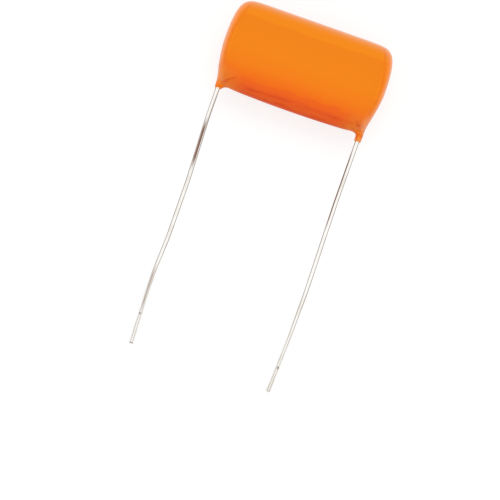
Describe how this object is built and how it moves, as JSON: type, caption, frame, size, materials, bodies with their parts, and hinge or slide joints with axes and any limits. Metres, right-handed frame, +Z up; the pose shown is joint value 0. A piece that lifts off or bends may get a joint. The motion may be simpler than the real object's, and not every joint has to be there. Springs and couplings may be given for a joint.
{
  "type": "film capacitor",
  "caption": "Radial film capacitor: a smooth flattened oval body of dipped epoxy with domed ends, and long parallel tinned wire leads that leave the ends of its base.",
  "frame": {"origin": "middle of the bounding box in X and Y, on the plane that the capacitor lies on", "axes": "+X along the roll from the left lead to the right lead, -Y along the leads from the base to their tips, +Z up from the plane it lies on"},
  "size_m": [0.032, 0.0686, 0.0111],
  "materials": {
    "epoxy": "smooth satin-gloss dipped epoxy, orange",
    "film": "silvery wound film and foil",
    "sprayed_metal": "dull grey, grainy sprayed metal",
    "tinned_wire": "bright tinned wire"
  },
  "bodies": {
    "root": {"epoxy_coat": "epoxy", "film_winding": "film", "end_contact_left": "sprayed_metal", "end_contact_right": "sprayed_metal", "lead_left": "tinned_wire", "lead_right": "tinned_wire"}
  },
  "joints": []
}
